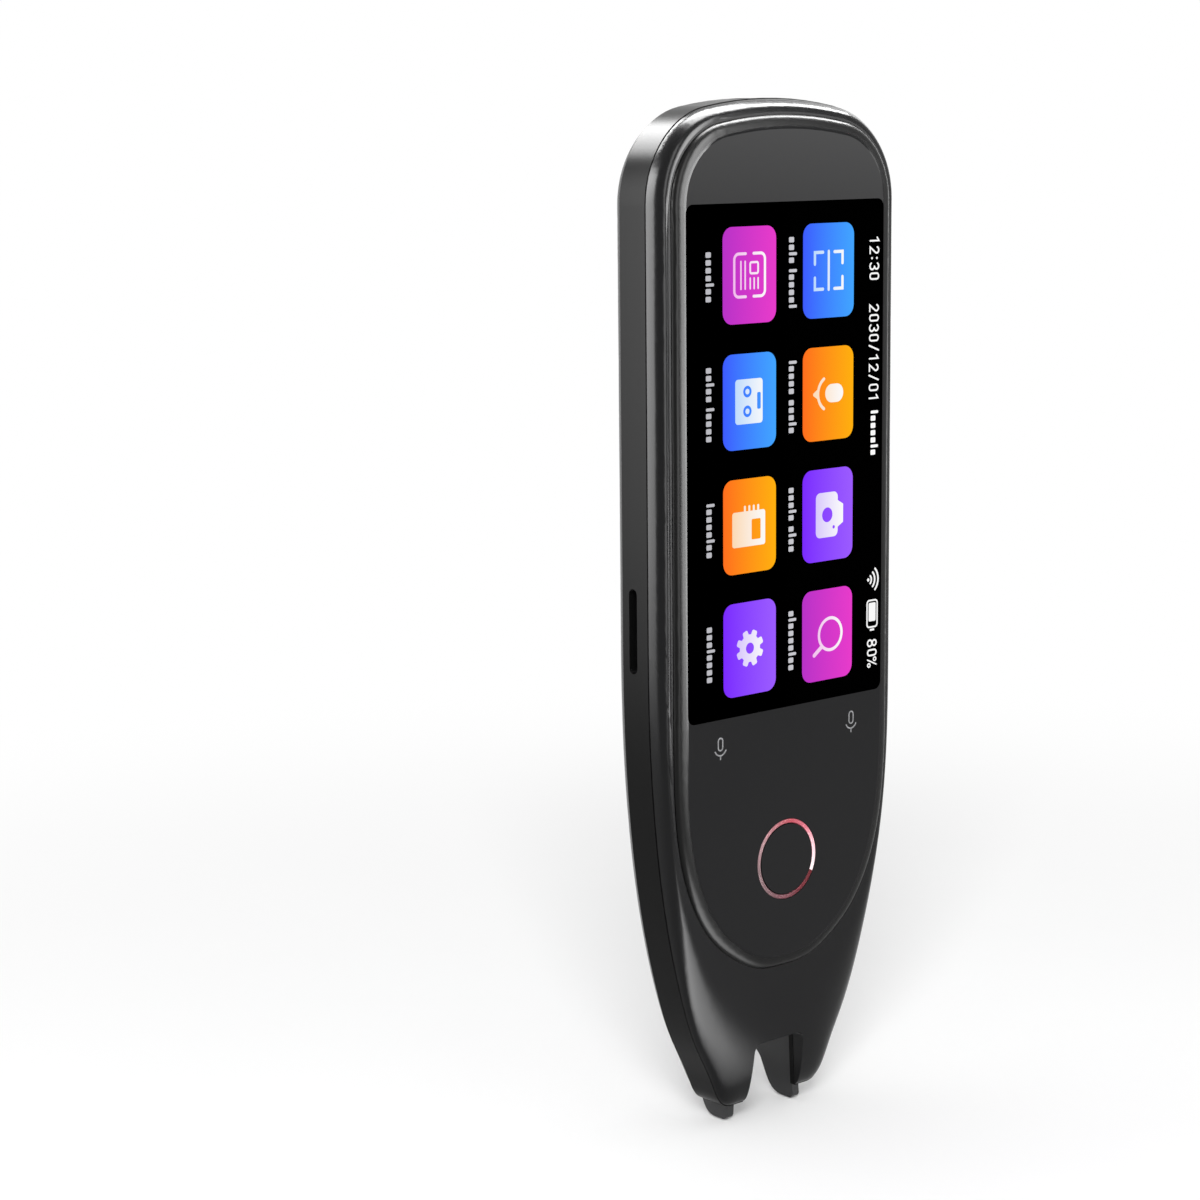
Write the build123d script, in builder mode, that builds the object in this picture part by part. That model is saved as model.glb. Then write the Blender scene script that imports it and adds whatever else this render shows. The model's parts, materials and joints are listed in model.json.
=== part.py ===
from build123d import *
import os
from math import cos, radians, sin, sqrt

# Handheld translator: a flat pen with a touch screen, side keys, a rear camera and a sliding scanning tip.
# Millimetres. +Z runs up the pen, the tip's feet stand on Z = 0, the screen faces -Y and X goes across.
# A depth is measured from the mid-plane towards the screen, so what lies behind it has a negative depth.

# ---- driving dimensions: the body ----
pen_length = 145.0
body_width = 46.4
front_depth = 6.2  # mid-plane to the face of the glass
rear_depth = 7.4  # mid-plane to the crown of the rear cover
band_front = 2.6  # mid-plane to the band's front edge
band_rear = 2.4  # mid-plane to the band's rear edge
foot_drop = 2.6  # how far the tip's feet stand below the housing
crown_radius = 70.0  # radius of the pen's top edge, seen from the front
corner_radius = 13.2
shoulder_height = 70.0  # the flanks are straight above this and taper below it
taper_overrun = 1.9  # how far below the feet the taper's curve would close
taper_power = 2.18
taper_root = 2.02
toe_half = 7.6  # half width of the housing's lower edge
front_power = 2.0  # how the housing rounds over: 2 is a quarter ellipse, 1 a flat bevel
rear_power = 1.5  # the same for the rear cover

# ---- driving dimensions: walls of the shells ----
band_wall = 1.6
cover_wall = 1.3
cover_inset = 0.12  # shadow line on both sides of the band
plate_thickness = 0.8
fit_gap = 0.1
slide_gap = 0.3

# ---- driving dimensions: front glass and its rim ----
rim_inset = 1.9  # band edge to the glass opening, seen from the front
rim_recess = 0.95  # glass face down to the rim
rim_lip = 0.3
glass_thickness = 1.1
glass_edge_width = 1.9
glass_edge_drop = 0.9
glass_edge_power = 2.0
glass_shoulder = 60.0
glass_foot = 22.6
glass_power = 3.1
glass_root = 2.0
glass_toe = 1.4
glass_overrun = 0.05  # how far below its foot the glass outline's curve would close
glass_corner = 11.4
tape_thickness = 0.1

# ---- driving dimensions: rear cover ----
crown_inset = 7.5  # band edge to the nearly flat back
crown_foot = 26.0
crown_toe = 6.0
crown_taper_end = 10.0

# ---- driving dimensions: screen ----
screen_side_margin = 4.1
screen_top_margin = 14.0
screen_foot = 60.5
panel_border = 0.5
panel_thickness = 1.3
panel_corner = 1.0

# ---- driving dimensions: home key ----
home_height = 38.4
ring_radius = 5.5
ring_width = 0.6
ring_proud = 0.05
key_play = 0.12
home_key_thickness = 0.9
home_travel = 0.3
home_switch_size = 4.5
home_switch_thickness = 0.7
home_post_radius = 1.2
home_dome_radius = 1.5
home_dome_height = 0.1

# ---- driving dimensions: side keys ----
volume_drop = 30.4  # pen's top to the middle of the key
volume_length = 19.9
power_drop = 51.4
power_length = 9.7
side_key_width = 2.0
side_key_proud = 0.8
side_key_cap = 0.18
flange_thickness = 0.55
flange_overhang = 0.6
key_travel_gap = 0.4
volume_switch_spacing = 14.8
side_switch_size = 3.0
side_switch_thickness = 0.8
key_board_thickness = 0.35
key_board_width = 3.6
key_board_margin = 3.0

# ---- driving dimensions: scanning tip ----
nib_foot_half = 7.4
nib_top_half = 6.1
nib_height = 16.7
nib_wall = 1.3
nib_corner = 3.0
nib_inner_corner = 1.4
nib_front = 1.4  # mid-plane to the front edge of the legs
nib_rear = 6.3  # mid-plane to the rear face of the bridge
nib_bridge_depth = 2.6
nib_heel = 0.8  # radius at the front of each foot
nib_sole = 0.9  # mid-plane to the rear end of each foot's flat sole
nib_keel = ((3.4, 1.3), (5.0, 5.0))  # distance behind the mid-plane and height of points on the keel
nib_keel_top = 12.0
nib_travel = 0.8
nib_top_gap = 1.0
nib_side_gap = 0.35
notch_foot_half = 5.4
notch_top_half = 4.85
notch_height = 11.5
notch_corner = 1.3

# ---- driving dimensions: scanning unit ----
bracket_half = 8.6
bracket_wall = 1.2
bracket_foot = 17.6
bracket_room = 7.0  # clear height between the bracket's two shelves
bracket_rear = 4.2
post_width = 1.4
post_depth = 2.6
post_offset = 5.0
post_setback = 0.4  # front face of the legs to the front of the posts
head_margin = 0.6
head_thickness = 0.8
head_gap = 0.2
spring_radius = 0.9
spring_wire = 0.28
spring_turns = 5
scan_camera_size = 5.6
scan_camera_height = 5.4
scan_barrel_radius = 1.7
scan_lens_radius = 1.25
light_width = 1.6
light_thickness = 0.6
nib_switch_width = 3.0
nib_switch_depth = 0.9

# ---- driving dimensions: back features ----
camera_drop = 29.5  # pen's top to the middle of the camera
camera_ring_radius = 5.1
camera_ring_width = 0.5
camera_ring_proud = 0.25
camera_flange = 0.6
camera_window_thickness = 0.8
lens_radius = 1.95
lens_barrel_radius = 2.9
camera_module_size = 8.6
lens_edge = 0.4
lens_window_gap = 0.4
hole_rows = 3
holes_in_row = 7
hole_row_radius = 9.66
hole_row_step = 1.5
hole_pitch_angle = 9.73
hole_diameter = 0.75

# ---- driving dimensions: sockets ----
slot_height = 73.3
slot_length = 11.8
slot_width = 1.6
slot_offset = 0.3  # slot centre behind the mid-plane
socket_depth = 14.0
socket_margin = 1.3
socket_thickness = 1.95
card_thickness = 0.9
usb_width = 9.0
usb_thickness = 3.2
usb_wall = 0.35
usb_recess = 0.7
usb_tongue = 0.7
port_gap = 0.15
mic_height = 44.8
mic_side_margin = 3.25  # from the side of the body
mic_port_radius = 0.5
mic_size = 2.4
mic_thickness = 0.9

# ---- driving dimensions: inner parts ----
board_thickness = 0.8
board_side_gap = 0.4
board_foot = 60.0
board_top_drop = 8.5
board_corner = 6.0
board_standoff = 0.2
small_corner = 0.4  # corners of switches and small modules
inner_corner = 1.5  # corners of the battery and the speaker
battery_width = 30.0
battery_thickness = 3.6
battery_foot = 47.5
battery_camera_gap = 6.1  # leaves room for the board's connectors
battery_gap = 0.2
shield_length = 21.0
shield_height = 1.9
shield_wall = 0.25
shield_corner = 1.0
shield_drop = 2.0  # below the battery's top end
shield_socket_gap = 0.5
shield_side_gap = 1.0  # from the edge of the board
connector_height = 1.2
connector_width = 5.0
connector_length = 2.6
connector_offsets = (-14.0, 10.0)
connector_rise = 3.0  # above the battery
speaker_width = 24.0
speaker_length = 13.0
speaker_thickness = 4.4
speaker_rise = 1.4  # above the middle of its holes
mesh_thickness = 0.15
mesh_width = 15.0
mesh_length = 7.0
top_screw_inset = 10.0  # from the side of the body
top_screw_drop = 6.4  # below the pen's top
middle_screw_inset = 6.0
middle_screw_drop = 3.3  # below the screen
low_screw_offset = 12.5
low_screw_rise = 4.0  # above the scanning unit
screw_radius = 0.7
screw_hole_gap = 0.06
screw_head_radius = 1.3
screw_head_thickness = 0.5
screw_bite = 1.8

# ---- levels worked out from the driving dimensions ----
body_half = body_width / 2
rim_depth = front_depth - rim_recess
glass_back = front_depth - glass_thickness
ledge_depth = glass_back - tape_thickness
plate_face = band_front - fit_gap
plate_back = plate_face - plate_thickness
board_face = plate_back - board_standoff
board_back = board_face - board_thickness
cover_inside = cover_wall - rear_depth
band_middle = (band_front - band_rear) / 2
volume_height = pen_length - volume_drop
power_height = pen_length - power_drop
camera_height = pen_length - camera_drop
board_top = pen_length - board_top_drop
mic_offset = body_half - mic_side_margin
screen_width = body_width - 2 * screen_side_margin
screen_height = pen_length - screen_top_margin - screen_foot
battery_top = camera_height - camera_module_size / 2 - battery_camera_gap
battery_length = battery_top - battery_foot

BODY = dict(
    half=body_half,
    top=pen_length,
    crown=crown_radius,
    corner=corner_radius,
    shoulder=shoulder_height,
    tip=-taper_overrun,
    foot=foot_drop,
    toe=toe_half,
    power=taper_power,
    root=taper_root,
)
RIM = dict(
    half=body_half - rim_inset,
    top=pen_length - rim_inset,
    crown=crown_radius - rim_inset,
    corner=glass_corner,
    shoulder=glass_shoulder,
    tip=glass_foot - rim_lip - glass_overrun,
    foot=glass_foot - rim_lip,
    toe=glass_toe,
    power=glass_power,
    root=glass_root,
)
CROWN = dict(
    half=body_half - crown_inset,
    top=pen_length - crown_inset,
    crown=crown_radius - crown_inset,
    corner=corner_radius - crown_inset,
    shoulder=shoulder_height,
    tip=crown_taper_end,
    foot=crown_foot,
    toe=crown_toe,
    power=taper_power,
    root=taper_root,
)
TAPER_STATIONS = (0.8, 0.6, 0.42, 0.27, 0.15, 0.06)
RIM_ANGLES = (0, 20, 40, 60, 78, 90)
CROWN_ANGLES = (0, 22, 44, 64, 80, 90)
GLASS_ANGLES = (0, 30, 60, 90)


def between(first, second, share):
    """Outline values part of the way from one outline to another."""
    return {key: first[key] + (second[key] - first[key]) * share for key in first}


def inset_outline(shape, inset):
    """Outline values with every edge moved in by one wall."""
    moved = dict(half=-inset, top=-inset, crown=-inset, corner=-inset, foot=inset, tip=inset, toe=-inset / 2)
    return {key: value + moved.get(key, 0) for key, value in shape.items()}


def taper_half(shape, height):
    """Half width at a height: straight flanks down to the shoulder, then a superellipse."""
    share = max(shape["shoulder"] - height, 0) / (shape["shoulder"] - shape["tip"])
    return shape["half"] * (1 - share ** shape["power"]) ** (1 / shape["root"])


def crown_height(shape, across):
    """Height of the outline's top edge at a distance from the middle."""
    return shape["top"] - shape["crown"] + sqrt(shape["crown"] ** 2 - across**2)


def pen_section(shape, depth):
    """Sketch of the pen's outline on the plane at a depth."""
    half, foot, toe, shoulder = shape["half"], shape["foot"], shape["toe"], shape["shoulder"]
    corner_height = crown_height(shape, half)
    stations = [foot + (shoulder - foot) * share for share in TAPER_STATIONS]
    taper_points = [(taper_half(shape, height), height) for height in stations]
    mirrored_points = [(-x, z) for x, z in taper_points]
    with BuildSketch(Plane.XZ.offset(depth)) as outline:
        with BuildLine():
            ThreePointArc((-half, corner_height), (0, shape["top"]), (half, corner_height))
            Line((half, corner_height), (half, shoulder))
            Spline((half, shoulder), *taper_points, (toe, foot), tangents=((0, -1), (-1, 0)))
            Line((toe, foot), (-toe, foot))
            Spline((-half, shoulder), *mirrored_points, (-toe, foot), tangents=((0, -1), (1, 0)))
            Line((-half, shoulder), (-half, corner_height))
        make_face()
        fillet(outline.vertices().group_by(Axis.Y)[-1], shape["corner"])
    return outline.sketch


def rounded_shell(first, second, from_depth, to_depth, angles, power):
    """Solid whose edge rounds over like a quarter superellipse from one outline and depth to another."""
    with BuildPart() as shell:
        for angle in angles:
            share = 1 - max(cos(radians(angle)), 0) ** (2 / power)
            depth = from_depth + (to_depth - from_depth) * sin(radians(angle)) ** (2 / power)
            add(pen_section(between(first, second, share), depth))
        loft()
    return shell.part


def nib_arch(foot_half, top_half, height, corner, side_gap=0.0, top_gap=0.0):
    """Face of an arch that stands on Z = 0, narrows upwards and has rounded top corners."""
    foot_x = foot_half + side_gap
    top_x = top_half + side_gap
    top_z = height + top_gap
    with BuildSketch(Plane.XZ) as arch:
        with BuildLine():
            Polyline((-foot_x, 0), (-top_x, top_z), (top_x, top_z), (foot_x, 0), close=True)
        make_face()
        fillet(arch.vertices().group_by(Axis.Y)[-1], corner)
    return arch.sketch


# ---- places that several pieces share ----
GLASS = inset_outline(RIM, rim_lip + fit_gap)
GLASS_FACE = inset_outline(GLASS, glass_edge_width)
POCKET = inset_outline(RIM, rim_lip)
HOUSING = inset_outline(BODY, cover_inset)
FRAME_INSIDE = inset_outline(BODY, band_wall)
COVER_INSIDE = inset_outline(BODY, band_wall)
COVER_INSIDE_CROWN = inset_outline(CROWN, cover_wall)

panel_width = screen_width + 2 * panel_border
panel_height = screen_height + 2 * panel_border
screen_middle = screen_foot + screen_height / 2
home_pocket_radius = ring_radius - ring_width / 2 - key_play - panel_border
home_switch_depth = plate_face + home_switch_thickness + home_dome_height

wall_inside = body_half - band_wall
flange_outside = wall_inside - key_travel_gap
flange_inside = flange_outside - flange_thickness
switch_top = flange_inside - key_travel_gap
switch_base = switch_top - side_switch_thickness
board_width = 2 * (switch_base - key_board_thickness - board_side_gap)
key_face = body_half + side_key_proud
volume_switch_heights = (volume_height - volume_switch_spacing / 2, volume_height + volume_switch_spacing / 2)

bracket_top = bracket_foot + bracket_wall + bracket_room
shelf_top = bracket_foot + bracket_wall
head_foot = shelf_top + head_gap
head_top = head_foot + head_thickness
post_middle = nib_front - post_setback - post_depth / 2
light_across = scan_barrel_radius + fit_gap + light_width / 2

hole_angles = [hole_pitch_angle * (index - (holes_in_row - 1) / 2) for index in range(holes_in_row)]
hole_radii = [hole_row_radius + hole_row_step * index for index in range(hole_rows)]
hole_places = [
    (radius * sin(radians(angle)), camera_height + radius * cos(radians(angle)))
    for radius in hole_radii
    for angle in hole_angles
]
speaker_middle = camera_height + hole_row_radius + hole_row_step * (hole_rows - 1) / 2
screw_thread_end = band_front + screw_bite
screw_points = (
    (body_half - top_screw_inset, pen_length - top_screw_drop),
    (body_half - middle_screw_inset, screen_foot - middle_screw_drop),
    (low_screw_offset, bracket_top + bracket_wall + low_screw_rise),
)
screw_places = [(side * x, z) for x, z in screw_points for side in (-1, 1)]

# the tip's outline, the channel it slides in and the scanning gap between its feet
nib_outline = nib_arch(nib_foot_half, nib_top_half, nib_height, nib_corner)
nib_channel = nib_arch(nib_foot_half, nib_top_half, nib_height, nib_corner, nib_side_gap, nib_top_gap)
cover_notch = nib_arch(nib_foot_half, nib_top_half, nib_height, nib_inner_corner, nib_side_gap, nib_top_gap)
front_notch = nib_arch(notch_foot_half, notch_top_half, notch_height, notch_corner)
opening_foot_half = nib_foot_half - nib_wall
opening_top_half = nib_top_half - nib_wall
nib_opening = nib_arch(opening_foot_half, opening_top_half, nib_height - nib_wall, nib_inner_corner)

# ---- side frame: the band and the chassis plate inside it ----
with BuildPart() as side_frame:
    extrude(pen_section(BODY, -band_rear), amount=band_front + band_rear)
    extrude(pen_section(FRAME_INSIDE, -band_rear), amount=band_front + band_rear, mode=Mode.SUBTRACT)
    extrude(pen_section(FRAME_INSIDE, plate_back), amount=plate_thickness)
    # the tip's channel and the scanning gap in front of it
    extrude(nib_channel, amount=nib_front + slide_gap, mode=Mode.SUBTRACT)
    extrude(nib_channel, amount=-2 * band_rear, mode=Mode.SUBTRACT)
    extrude(front_notch, amount=2 * band_front, mode=Mode.SUBTRACT)
    # key openings in the right wall
    with BuildSketch(Plane.YZ.offset(wall_inside - fit_gap)):
        with Locations((-band_middle, volume_height)):
            SlotOverall(volume_length + 2 * key_play, side_key_width + 2 * key_play, rotation=90)
        with Locations((-band_middle, power_height)):
            SlotOverall(power_length + 2 * key_play, side_key_width + 2 * key_play, rotation=90)
    extrude(amount=2 * band_wall, mode=Mode.SUBTRACT)
    # card slot in the left wall
    with BuildSketch(Plane.YZ.offset(-wall_inside + 2 * fit_gap)):
        with Locations((slot_offset, slot_height)):
            SlotOverall(slot_length, slot_width, rotation=90)
    extrude(amount=-2 * band_wall, mode=Mode.SUBTRACT)
    # charging port in the top end
    with BuildSketch(Plane.XY.offset(board_top)):
        with Locations((0, -band_middle)):
            SlotOverall(usb_width + 2 * port_gap, usb_thickness + 2 * port_gap)
    extrude(amount=pen_length - board_top, mode=Mode.SUBTRACT)
    with BuildSketch(Plane.XZ.offset(plate_back)):
        with Locations(screw_places):
            Circle(screw_radius + screw_hole_gap)
    extrude(amount=plate_thickness, mode=Mode.SUBTRACT)

# ---- front housing: gloss ring, chin and the two lobes beside the tip ----
with BuildPart() as front_housing:
    add(rounded_shell(HOUSING, RIM, band_front, rim_depth, RIM_ANGLES, front_power))
    extrude(pen_section(POCKET, ledge_depth), amount=glass_thickness, mode=Mode.SUBTRACT)
    with BuildSketch(Plane.XZ.offset(band_front)):
        with Locations((0, screen_middle)):
            RectangleRounded(panel_width + 2 * fit_gap, panel_height + 2 * fit_gap, panel_corner)
    extrude(amount=rim_depth, mode=Mode.SUBTRACT)
    with BuildSketch(Plane.XZ.offset(band_front)):
        with Locations((0, home_height)):
            Circle(home_pocket_radius)
    extrude(amount=ledge_depth - band_front, mode=Mode.SUBTRACT)
    with BuildSketch(Plane.XZ.offset(band_front)):
        with Locations((-mic_offset + mic_size / 2, mic_height), (mic_offset - mic_size / 2, mic_height)):
            Rectangle(mic_size + 2 * fit_gap, mic_size + 2 * fit_gap)
    extrude(amount=mic_thickness + fit_gap, mode=Mode.SUBTRACT)
    with BuildSketch(Plane.XZ.offset(band_front)):
        with Locations((-mic_offset, mic_height), (mic_offset, mic_height)):
            Circle(mic_port_radius)
    extrude(amount=rim_depth, mode=Mode.SUBTRACT)
    with BuildSketch(Plane.XZ.offset(band_front)):
        with Locations(screw_places):
            Circle(screw_radius + screw_hole_gap)
    extrude(amount=screw_bite, mode=Mode.SUBTRACT)
    extrude(front_notch, amount=2 * front_depth, mode=Mode.SUBTRACT)

# ---- rear cover: crowned shell, open round the tip, drilled for the speaker and the camera ----
with BuildPart() as rear_cover:
    add(rounded_shell(HOUSING, CROWN, -band_rear, -rear_depth, CROWN_ANGLES, rear_power))
    cavity_outlines = (COVER_INSIDE, COVER_INSIDE_CROWN)
    add(rounded_shell(*cavity_outlines, -band_rear, cover_inside, CROWN_ANGLES, rear_power), mode=Mode.SUBTRACT)
    extrude(cover_notch, amount=-2 * rear_depth, mode=Mode.SUBTRACT)
    with BuildSketch(Plane.XZ.offset(cover_inside)):
        with Locations(hole_places):
            Circle(hole_diameter / 2)
        with Locations((0, camera_height)):
            Circle(camera_ring_radius + fit_gap / 2)
    extrude(amount=-2 * cover_wall, mode=Mode.SUBTRACT)

# ---- front glass, with its rounded edge and the hole for the home ring ----
with BuildPart() as front_glass:
    edge_depth = front_depth - glass_edge_drop
    add(rounded_shell(GLASS, GLASS_FACE, edge_depth, front_depth, GLASS_ANGLES, glass_edge_power))
    extrude(pen_section(GLASS, glass_back), amount=edge_depth - glass_back)
    with BuildSketch(Plane.XZ.offset(glass_back)):
        with Locations((0, home_height)):
            Circle(ring_radius + ring_width / 2 + fit_gap / 2)
    extrude(amount=2 * glass_thickness, mode=Mode.SUBTRACT)

with BuildPart() as display_adhesive:
    extrude(pen_section(GLASS, ledge_depth), amount=tape_thickness)
    with BuildSketch(Plane.XZ.offset(ledge_depth)):
        with Locations((0, screen_middle)):
            Rectangle(panel_width + 2 * fit_gap, panel_height + 2 * fit_gap)
        with Locations((0, home_height)):
            Circle(ring_radius + ring_width / 2 + fit_gap)
    extrude(amount=tape_thickness, mode=Mode.SUBTRACT)

with BuildPart() as display_panel:
    with BuildSketch(Plane.XZ.offset(glass_back - panel_thickness)):
        with Locations((0, screen_middle)):
            RectangleRounded(panel_width, panel_height, panel_corner)
    extrude(amount=panel_thickness)

# ---- home ring and home key ----
with BuildPart() as home_ring:
    with BuildSketch(Plane.XZ.offset(ledge_depth)):
        with Locations((0, home_height)):
            Circle(ring_radius + ring_width / 2)
            Circle(ring_radius - ring_width / 2, mode=Mode.SUBTRACT)
    extrude(amount=front_depth + ring_proud - ledge_depth)
    chamfer(home_ring.edges().group_by(Axis.Y)[0], ring_width / 5)

home_key_back = front_depth - home_key_thickness
home_post_end = home_switch_depth + home_travel + fit_gap / 2
with BuildPart() as home_key:
    with BuildSketch(Plane.XZ.offset(home_key_back)):
        with Locations((0, home_height)):
            Circle(ring_radius - ring_width / 2 - key_play)
    extrude(amount=home_key_thickness)
    with BuildSketch(Plane.XZ.offset(home_post_end)):
        with Locations((0, home_height)):
            Circle(home_post_radius)
    extrude(amount=home_key_back - home_post_end)

with BuildPart() as home_switch:
    with BuildSketch(Plane.XZ.offset(plate_face)):
        with Locations((0, home_height)):
            RectangleRounded(home_switch_size, home_switch_size, small_corner)
    extrude(amount=home_switch_thickness)
    with BuildSketch(Plane.XZ.offset(plate_face + home_switch_thickness)):
        with Locations((0, home_height)):
            Circle(home_dome_radius)
    extrude(amount=home_dome_height, taper=45)


# ---- side keys: a skirt with a retaining flange and a cap on its face ----
def side_key(length, height, from_x, to_x, overhang=0.0):
    """Slot-shaped slice of a side key between two distances from the middle."""
    with BuildPart() as slice_of_key:
        with BuildSketch(Plane.YZ.offset(from_x)):
            with Locations((-band_middle, height)):
                SlotOverall(length + 2 * overhang, side_key_width + 2 * overhang, rotation=90)
        extrude(amount=to_x - from_x)
    return slice_of_key.part


cap_base = key_face - side_key_cap
with BuildPart() as volume_key_skirt:
    add(side_key(volume_length, volume_height, flange_inside, flange_outside, flange_overhang))
    add(side_key(volume_length, volume_height, flange_outside, cap_base))

with BuildPart() as volume_key:
    add(side_key(volume_length, volume_height, cap_base, key_face))
    chamfer(volume_key.faces().sort_by(Axis.X)[-1].edges(), side_key_cap / 2)

with BuildPart() as power_key_skirt:
    add(side_key(power_length, power_height, flange_inside, flange_outside, flange_overhang))
    add(side_key(power_length, power_height, flange_outside, cap_base))

with BuildPart() as power_key:
    add(side_key(power_length, power_height, cap_base, key_face))
    chamfer(power_key.faces().sort_by(Axis.X)[-1].edges(), side_key_cap / 2)


def side_switches(heights):
    """One tactile switch at each height on the key board."""
    plunger = side_switch_thickness / 3
    with BuildPart() as switches:
        with BuildSketch(Plane.YZ.offset(switch_base)):
            with Locations(*[(-band_middle, height) for height in heights]):
                RectangleRounded(side_switch_size, side_switch_size, small_corner)
        extrude(amount=side_switch_thickness - plunger)
        with BuildSketch(Plane.YZ.offset(switch_top - plunger)):
            with Locations(*[(-band_middle, height) for height in heights]):
                Circle(side_switch_size / 4)
        extrude(amount=plunger)
    return switches.part


with BuildPart() as volume_switches:
    add(side_switches(volume_switch_heights))

with BuildPart() as power_switch:
    add(side_switches((power_height,)))

with BuildPart() as key_board:
    board_low = power_height - side_switch_size / 2 - key_board_margin
    board_high = volume_switch_heights[1] + side_switch_size / 2 + key_board_margin
    with BuildSketch(Plane.YZ.offset(switch_base - key_board_thickness)):
        with Locations((key_board_width / 2 - plate_back, (board_low + board_high) / 2)):
            Rectangle(key_board_width, board_high - board_low)
    extrude(amount=key_board_thickness)

# ---- scanning nib: forked guide, its slider posts and their heads ----
with BuildPart() as scan_nib:
    extrude(nib_outline, amount=nib_front)
    extrude(nib_outline, amount=-nib_rear)
    extrude(nib_opening, amount=nib_rear, both=True, mode=Mode.SUBTRACT)
    # the bridge is only a bar along the rear
    with BuildSketch(Plane.XZ.offset(nib_bridge_depth - nib_rear)):
        with Locations((0, nib_height)):
            Rectangle(2 * (nib_top_half - nib_wall) - nib_inner_corner, 4 * nib_wall)
    extrude(amount=nib_front + nib_rear, mode=Mode.SUBTRACT)
    # side profile: round heel in front, long keel-like sweep behind
    with BuildSketch(Plane.YZ):
        with BuildLine():
            heel = Line((-nib_front, 2 * nib_height), (-nib_front, nib_heel))
            sole_start = RadiusArc(heel @ 1, (-nib_front + nib_heel, 0), -nib_heel)
            sole = Line(sole_start @ 1, (nib_sole, 0))
            Spline(sole @ 1, *nib_keel, (nib_rear, nib_keel_top), tangents=((1, 0), (0, 1)))
            Line((nib_rear, nib_keel_top), (nib_rear, 2 * nib_height))
            Line((nib_rear, 2 * nib_height), (-nib_front, 2 * nib_height))
        make_face()
    extrude(amount=2 * nib_foot_half, both=True, mode=Mode.INTERSECT)
    post_places = [(-post_offset, -post_middle), (post_offset, -post_middle)]
    with BuildSketch(Plane.XY.offset(nib_height - nib_corner)):
        with Locations(*post_places):
            Rectangle(post_width, post_depth)
    extrude(amount=head_foot - nib_height + nib_corner)
    with BuildSketch(Plane.XY.offset(head_foot)):
        with Locations(*post_places):
            Rectangle(post_width + 2 * head_margin, post_depth + head_margin)
    extrude(amount=head_thickness)

with BuildPart() as nib_springs:
    spring_height = bracket_top - head_top - spring_wire - fit_gap
    spring_foot = head_top + spring_wire / 2 + fit_gap / 2
    for side in (-1, 1):
        centre = Vector(side * post_offset, -post_middle, spring_foot)
        coil_pitch = spring_height / spring_turns
        coil = Helix(coil_pitch, spring_height, spring_radius, center=centre)
        with BuildSketch(Plane(coil @ 0, z_dir=coil % 0)):
            RegularPolygon(spring_wire / 2, 6)
        sweep(path=coil, is_frenet=True)

# ---- scanning unit: bracket, camera, lens, lights and the tip's switch ----
bracket_front = -plate_back
bracket_depth = bracket_rear - bracket_front
with BuildPart() as scan_bracket:
    with BuildSketch(Plane.XY.offset(bracket_foot)):
        with Locations((0, bracket_front + bracket_depth / 2)):
            Rectangle(2 * bracket_half, bracket_depth)
    extrude(amount=bracket_top + bracket_wall - bracket_foot)
    with BuildSketch(Plane.XY.offset(shelf_top)):
        with Locations((0, bracket_front + bracket_depth / 2)):
            Rectangle(2 * (bracket_half - bracket_wall), bracket_depth)
    extrude(amount=bracket_room, mode=Mode.SUBTRACT)
    with BuildSketch(Plane.XY.offset(bracket_foot)):
        with Locations(*post_places):
            Rectangle(post_width + 2 * slide_gap, post_depth + 2 * slide_gap)
        with Locations((0, bracket_rear - scan_camera_size / 2)):
            Circle(scan_barrel_radius + fit_gap)
    extrude(amount=bracket_wall, mode=Mode.SUBTRACT)

with BuildPart() as scan_camera:
    with BuildSketch(Plane.XY.offset(shelf_top)):
        with Locations((0, bracket_rear - scan_camera_size / 2)):
            RectangleRounded(scan_camera_size, scan_camera_size, small_corner)
    extrude(amount=scan_camera_height)
    with BuildSketch(Plane.XY.offset(bracket_foot + 3 * fit_gap)):
        with Locations((0, bracket_rear - scan_camera_size / 2)):
            Circle(scan_barrel_radius)
            Circle(scan_lens_radius, mode=Mode.SUBTRACT)
    extrude(amount=bracket_wall - 3 * fit_gap)

with BuildPart() as scan_lens:
    with BuildSketch(Plane.XY.offset(shelf_top)):
        with Locations((0, bracket_rear - scan_camera_size / 2)):
            Circle(scan_lens_radius)
    extrude(amount=-bracket_wall / 2)
    fillet(scan_lens.edges().group_by(Axis.Z)[0], lens_edge / 2)

with BuildPart() as scan_lights:
    with BuildSketch(Plane.XY.offset(bracket_foot)):
        with Locations((-light_across, 0), (light_across, 0)):
            Rectangle(light_width, light_width)
    extrude(amount=-light_thickness)

with BuildPart() as nib_switch:
    with BuildSketch(Plane.XY.offset(nib_height + nib_travel + fit_gap)):
        with Locations((0, bracket_rear + nib_switch_depth / 2)):
            Rectangle(nib_switch_width, nib_switch_depth)
    extrude(amount=shelf_top - nib_height - nib_travel - fit_gap)

# ---- rear camera: flanged ring, window, lens and module ----
ring_face = rear_depth + camera_ring_proud
ring_back = -cover_inside - camera_flange / 2
window_back = ring_face - 2 * fit_gap - camera_window_thickness
window_radius = camera_ring_radius - camera_ring_width
with BuildPart() as camera_ring:
    with BuildSketch(Plane.YZ):
        with BuildLine():
            Polyline(
                (ring_back, window_radius - camera_ring_width),
                (ring_back, camera_ring_radius + camera_flange),
                (-cover_inside, camera_ring_radius + camera_flange),
                (-cover_inside, camera_ring_radius),
                (ring_face, camera_ring_radius),
                (ring_face, window_radius),
                (window_back, window_radius),
                (window_back, window_radius - camera_ring_width),
                close=True,
            )
        make_face()
    revolve(axis=Axis.Y)
    fillet(camera_ring.edges().group_by(Axis.Y)[-1].sort_by(SortBy.LENGTH)[-1], 2 * fit_gap)
camera_ring.part.locate(Location((0, 0, camera_height)))

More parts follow.
